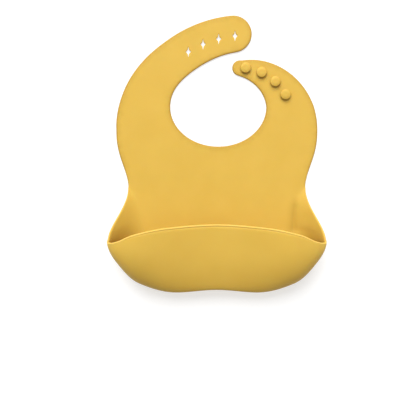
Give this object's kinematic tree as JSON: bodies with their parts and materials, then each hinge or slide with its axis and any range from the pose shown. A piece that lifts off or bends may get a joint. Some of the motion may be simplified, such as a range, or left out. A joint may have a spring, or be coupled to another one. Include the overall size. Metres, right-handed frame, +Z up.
{
  "type": "silicone bib",
  "caption": "Moulded silicone bib with a round neck opening, a long strap with snap holes, a short strap with studs, and an open catch pocket along its lower edge.",
  "frame": {"origin": "centre of the bounding box's bottom face; the bib lies on its back", "axes": "+Y from the pocket to the neck opening, +Z up out of the bib's front, +X towards the strap with the studs"},
  "size_m": [0.2248, 0.293, 0.039],
  "materials": {
    "silicone": "matte"
  },
  "bodies": {
    "pocket": {"chest_panel": "silicone", "pocket_back": "silicone", "pocket_base_wall": "silicone", "side_wall_left": "silicone", "side_wall_right": "silicone", "cheek_left": "silicone", "cheek_right": "silicone", "rim_bead_left": "silicone", "rim_bead_right": "silicone"},
    "front_wall": {"pocket_front_wall": "silicone", "rim_bead_front": "silicone"},
    "collar": {"collar_panel": "silicone"},
    "hole_strap_a": {"hole_strap_root": "silicone"},
    "hole_strap_b": {"hole_strap_middle": "silicone"},
    "hole_strap_c": {"hole_strap_inner": "silicone"},
    "hole_strap_d": {"hole_strap_tip": "silicone"},
    "stud_strap_a": {"stud_strap_root": "silicone", "stud_3": "silicone", "stud_4": "silicone"},
    "stud_strap_b": {"stud_strap_tip": "silicone", "stud_1": "silicone", "stud_2": "silicone"}
  },
  "joints": [
    {"name": "chest_fold", "type": "hinge", "parent": "pocket", "child": "collar", "pos_m": [0, -0.012, 0.002], "axis": [1, 0, 0], "range_deg": [0, 80], "stiffness_Nm_per_rad": 0.004},
    {"name": "pocket_flex", "type": "hinge", "parent": "pocket", "child": "front_wall", "pos_m": [0, -0.145, 0.019], "axis": [1, 0, 0], "range_deg": [0, 12], "stiffness_Nm_per_rad": 0.05},
    {"name": "hole_strap_curl", "type": "hinge", "parent": "collar", "child": "hole_strap_a", "pos_m": [-0.075, 0.05922, 0.002], "axis": [0.9903, -0.1392, 0], "range_deg": [0, 26], "stiffness_Nm_per_rad": 0.001},
    {"name": "hole_strap_curl_b", "type": "hinge", "parent": "hole_strap_a", "child": "hole_strap_b", "pos_m": [-0.05983, 0.08532, 0.002], "axis": [0.8572, -0.515, 0], "range_deg": [0, 26], "stiffness_Nm_per_rad": 0.001},
    {"name": "hole_strap_curl_c", "type": "hinge", "parent": "hole_strap_b", "child": "hole_strap_c", "pos_m": [-0.03863, 0.10371, 0.002], "axis": [0.5878, -0.809, 0], "range_deg": [0, 26], "stiffness_Nm_per_rad": 0.001},
    {"name": "hole_strap_curl_d", "type": "hinge", "parent": "hole_strap_c", "child": "hole_strap_d", "pos_m": [-0.00729, 0.12008, 0.002], "axis": [0.1219, -0.9925, 0], "range_deg": [0, 26], "stiffness_Nm_per_rad": 0.001},
    {"name": "stud_strap_curl", "type": "hinge", "parent": "collar", "child": "stud_strap_a", "pos_m": [0.07735, 0.05245, 0.002], "axis": [0.9986, 0.0523, 0], "range_deg": [0, 38], "stiffness_Nm_per_rad": 0.001},
    {"name": "stud_strap_curl_b", "type": "hinge", "parent": "stud_strap_a", "child": "stud_strap_b", "pos_m": [0.05555, 0.08095, 0.002], "axis": [0.8572, 0.515, 0], "range_deg": [0, 38], "stiffness_Nm_per_rad": 0.001}
  ],
  "couplings": [
    {"joint": "hole_strap_curl_b", "follows": "hole_strap_curl", "ratio": 1},
    {"joint": "hole_strap_curl_c", "follows": "hole_strap_curl", "ratio": 1},
    {"joint": "hole_strap_curl_d", "follows": "hole_strap_curl", "ratio": 1},
    {"joint": "stud_strap_curl_b", "follows": "stud_strap_curl", "ratio": 1}
  ]
}
